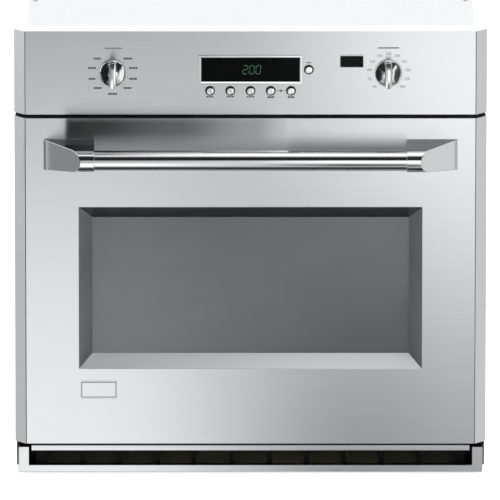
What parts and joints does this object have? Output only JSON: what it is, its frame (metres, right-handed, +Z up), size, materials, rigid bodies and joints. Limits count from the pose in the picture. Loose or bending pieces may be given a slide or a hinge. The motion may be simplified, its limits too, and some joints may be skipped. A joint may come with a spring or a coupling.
{
  "type": "wall oven",
  "caption": "Built-in electric wall oven with a drop-down windowed door, tubular handle, control panel with knobs, buttons and display, and vent trim below.",
  "frame": {"origin": "middle of the underside of the whole object's box, door shut", "axes": "+X to the right seen from the front, -Y out of the front towards the user, +Z up"},
  "size_m": [0.7556, 0.69, 0.727],
  "materials": {
    "brushed_stainless": "horizontally brushed stainless steel",
    "polished_stainless": "polished stainless steel",
    "galvanised_sheet": "galvanised steel sheet",
    "black_painted_steel": "matte black paint",
    "porcelain_enamel": "fired porcelain enamel with fine flecks",
    "window_glass": "clear tempered glass",
    "display_glass": "black glass",
    "green_lens": "tinted lens",
    "black_plastic": "moulded plastic",
    "circuit_board": "solder mask",
    "glass_wool": "glass wool blanket",
    "woven_seal": "woven glass-fibre seal",
    "plated_wire": "nickel-plated wire",
    "heating_tube": "oxidised metal sheath"
  },
  "bodies": {
    "chassis": {"front_frame": "brushed_stainless", "vent_trim": "brushed_stainless", "control_panel": "brushed_stainless", "display_bezel": "brushed_stainless", "temperature_probe": "polished_stainless", "base_pan": "galvanised_sheet", "side_panel_left": "galvanised_sheet", "side_panel_right": "galvanised_sheet", "top_panel": "galvanised_sheet", "rear_panel": "galvanised_sheet", "junction_box": "galvanised_sheet", "hinge_receiver_left": "galvanised_sheet", "hinge_receiver_right": "galvanised_sheet", "convection_fan_motor": "galvanised_sheet", "latch_housing": "galvanised_sheet", "blower_housing": "galvanised_sheet", "blower_motor": "galvanised_sheet", "vent_grille": "black_painted_steel", "oven_cavity": "porcelain_enamel", "fan_cover": "porcelain_enamel", "lamp_lens": "window_glass", "display_window": "display_glass", "indicator_window": "green_lens", "door_switch": "black_plastic", "mode_switch": "black_plastic", "temperature_switch": "black_plastic", "control_board": "circuit_board", "insulation_blanket": "glass_wool", "door_gasket": "woven_seal", "rack_guide_left": "plated_wire", "rack_guide_right": "plated_wire", "broil_element": "heating_tube", "bake_element": "heating_tube", "convection_element": "heating_tube"},
    "door": {"door_skin": "brushed_stainless", "door_liner": "porcelain_enamel", "door_glass_outer": "window_glass", "door_glass_middle": "window_glass", "door_glass_inner": "window_glass", "glass_frame": "black_painted_steel", "handle_bar": "brushed_stainless", "handle_bracket_left": "polished_stainless", "handle_bracket_right": "polished_stainless", "hinge_arm_left": "galvanised_sheet", "hinge_arm_right": "galvanised_sheet", "badge_plate": "polished_stainless"},
    "mode_knob": {"mode_knob": "polished_stainless"},
    "temperature_knob": {"temperature_knob": "polished_stainless"},
    "button_1": {"button_1": "polished_stainless"},
    "button_2": {"button_2": "polished_stainless"},
    "button_3": {"button_3": "polished_stainless"},
    "button_4": {"button_4": "polished_stainless"},
    "button_5": {"button_5": "polished_stainless"},
    "button_6": {"button_6": "polished_stainless"},
    "rack_lower": {"rack_lower": "plated_wire"},
    "rack_upper": {"rack_upper": "plated_wire"},
    "convection_fan": {"convection_fan": "galvanised_sheet"},
    "blower_wheel": {"blower_wheel": "galvanised_sheet"},
    "latch_hook": {"latch_hook": "polished_stainless"},
    "switch_plunger": {"switch_plunger": "black_plastic"}
  },
  "joints": [
    {"name": "door_hinge", "type": "hinge", "parent": "chassis", "child": "door", "pos_m": [0, -0.2666, 0.06], "axis": [1, 0, 0], "range_deg": [0, 90], "stiffness_Nm_per_rad": 14, "springref_deg": -20.05},
    {"name": "mode_knob_turn", "type": "hinge", "parent": "chassis", "child": "mode_knob", "pos_m": [-0.22, -0.2766, 0.659], "axis": [0, 1, 0], "range_deg": [0, 324]},
    {"name": "temperature_knob_turn", "type": "hinge", "parent": "chassis", "child": "temperature_knob", "pos_m": [0.22, -0.2766, 0.659], "axis": [0, 1, 0], "range_deg": [0, 310]},
    {"name": "button_1_press", "type": "slide", "parent": "chassis", "child": "button_1", "axis": [0, 1, 0], "range_m": [0, 0.0025], "stiffness_N_per_m": 400, "springref_m": -0.001},
    {"name": "button_2_press", "type": "slide", "parent": "chassis", "child": "button_2", "axis": [0, 1, 0], "range_m": [0, 0.0025], "stiffness_N_per_m": 400, "springref_m": -0.001},
    {"name": "button_3_press", "type": "slide", "parent": "chassis", "child": "button_3", "axis": [0, 1, 0], "range_m": [0, 0.0025], "stiffness_N_per_m": 400, "springref_m": -0.001},
    {"name": "button_4_press", "type": "slide", "parent": "chassis", "child": "button_4", "axis": [0, 1, 0], "range_m": [0, 0.0025], "stiffness_N_per_m": 400, "springref_m": -0.001},
    {"name": "button_5_press", "type": "slide", "parent": "chassis", "child": "button_5", "axis": [0, 1, 0], "range_m": [0, 0.0025], "stiffness_N_per_m": 400, "springref_m": -0.001},
    {"name": "button_6_press", "type": "slide", "parent": "chassis", "child": "button_6", "axis": [0, 1, 0], "range_m": [0, 0.0025], "stiffness_N_per_m": 400, "springref_m": -0.001},
    {"name": "rack_lower_slide", "type": "slide", "parent": "chassis", "child": "rack_lower", "axis": [0, -1, 0], "range_m": [0, 0.3]},
    {"name": "rack_upper_slide", "type": "slide", "parent": "chassis", "child": "rack_upper", "axis": [0, -1, 0], "range_m": [0, 0.3]},
    {"name": "convection_fan_spin", "type": "hinge", "parent": "chassis", "child": "convection_fan", "pos_m": [0, 0.2614, 0.315], "axis": [0, 1, 0], "continuous": true},
    {"name": "blower_spin", "type": "hinge", "parent": "chassis", "child": "blower_wheel", "pos_m": [0, 0.1514, 0.65], "axis": [1, 0, 0], "continuous": true},
    {"name": "latch_slide", "type": "slide", "parent": "chassis", "child": "latch_hook", "axis": [1, 0, 0], "range_m": [0, 0.008]},
    {"name": "switch_plunger_slide", "type": "slide", "parent": "chassis", "child": "switch_plunger", "axis": [0, -1, 0], "range_m": [0, 0.006]}
  ],
  "couplings": [
    {"joint": "rack_lower_slide", "follows": "door_hinge", "m_per_rad": 0.19},
    {"joint": "rack_upper_slide", "follows": "door_hinge", "m_per_rad": 0.19},
    {"joint": "switch_plunger_slide", "follows": "door_hinge", "m_per_rad": 0.0038}
  ]
}
